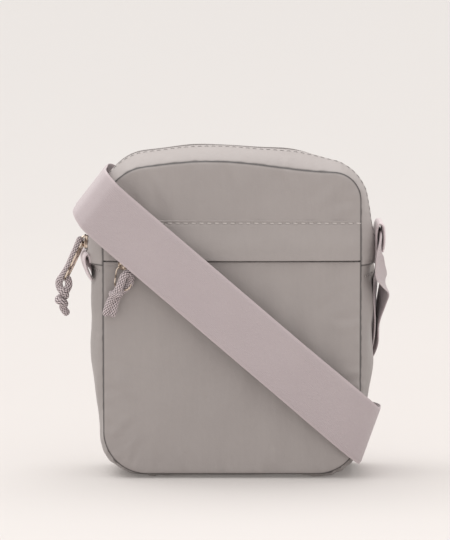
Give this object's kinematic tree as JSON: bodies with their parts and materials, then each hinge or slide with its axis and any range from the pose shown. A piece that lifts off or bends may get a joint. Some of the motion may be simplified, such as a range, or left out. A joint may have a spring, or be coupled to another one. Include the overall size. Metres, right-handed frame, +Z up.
{
  "type": "crossbody bag",
  "caption": "Small zipped nylon crossbody bag with a front zip pocket under a flap band and a wide webbing strap wound diagonally round it.",
  "frame": {"origin": "on the ground under the middle of the flat base", "axes": "+X to the right seen from the front, +Y towards the back panel, +Z up; the front pocket faces -Y"},
  "size_m": [0.2154, 0.0914, 0.213],
  "materials": {
    "shell_nylon": "thin grey nylon with a soft sheen",
    "lining_cloth": "plain woven polyester",
    "seam_tape": "folded binding tape",
    "zip_tape": "woven zip tape",
    "zip_coil": "nylon coil",
    "webbing": "ribbed lilac polyester webbing",
    "zip_metal": "pale gold plating",
    "adjuster_metal": "pale gold plating",
    "braided_cord": "speckled grey and lilac braid"
  },
  "bodies": {
    "bag": {"front_yoke": "shell_nylon", "front_band": "shell_nylon", "front_pocket_panel": "shell_nylon", "pocket_lining": "lining_cloth", "back_panel": "shell_nylon", "side_bottom_gusset": "shell_nylon", "zip_gusset_front": "shell_nylon", "zip_gusset_back": "shell_nylon", "front_seam_binding": "seam_tape", "back_seam_binding": "seam_tape", "lining_front": "lining_cloth", "lining_back": "lining_cloth", "lining_gusset": "lining_cloth", "lining_top_front": "lining_cloth", "lining_top_back": "lining_cloth", "main_zip_tape_front": "zip_tape", "main_zip_tape_back": "zip_tape", "main_zip_coil_front": "zip_coil", "main_zip_coil_back": "zip_coil", "pocket_zip_tape_upper": "zip_tape", "pocket_zip_tape_lower": "zip_tape", "pocket_zip_coil_upper": "zip_coil", "pocket_zip_coil_lower": "zip_coil", "left_tab": "webbing", "right_tab": "webbing", "strap": "webbing", "strap_adjuster": "adjuster_metal"},
    "main_slider": {"main_zip_slider": "zip_metal"},
    "main_pull": {"main_zip_puller": "zip_metal", "main_pull_cord": "braided_cord", "main_pull_knot": "braided_cord"},
    "pocket_slider": {"pocket_zip_slider": "zip_metal"},
    "pocket_pull": {"pocket_zip_ring": "zip_metal", "pocket_pull_cord": "braided_cord", "pocket_pull_knot": "braided_cord"}
  },
  "joints": [
    {"name": "main_zip_slide", "type": "slide", "parent": "bag", "child": "main_slider", "axis": [0, 0, 1], "range_m": [0, 0.01]},
    {"name": "main_pull_swing", "type": "hinge", "parent": "main_slider", "child": "main_pull", "pos_m": [-0.09415, 0, 0.1494], "axis": [0, 1, 0], "range_deg": [-3, 50]},
    {"name": "pocket_zip_slide", "type": "slide", "parent": "bag", "child": "pocket_slider", "axis": [1, 0, 0], "range_m": [0, 0.138]},
    {"name": "pocket_pull_lift", "type": "hinge", "parent": "pocket_slider", "child": "pocket_pull", "pos_m": [-0.068, -0.03365, 0.1373], "axis": [-1, 0, 0], "range_deg": [0, 40]}
  ]
}
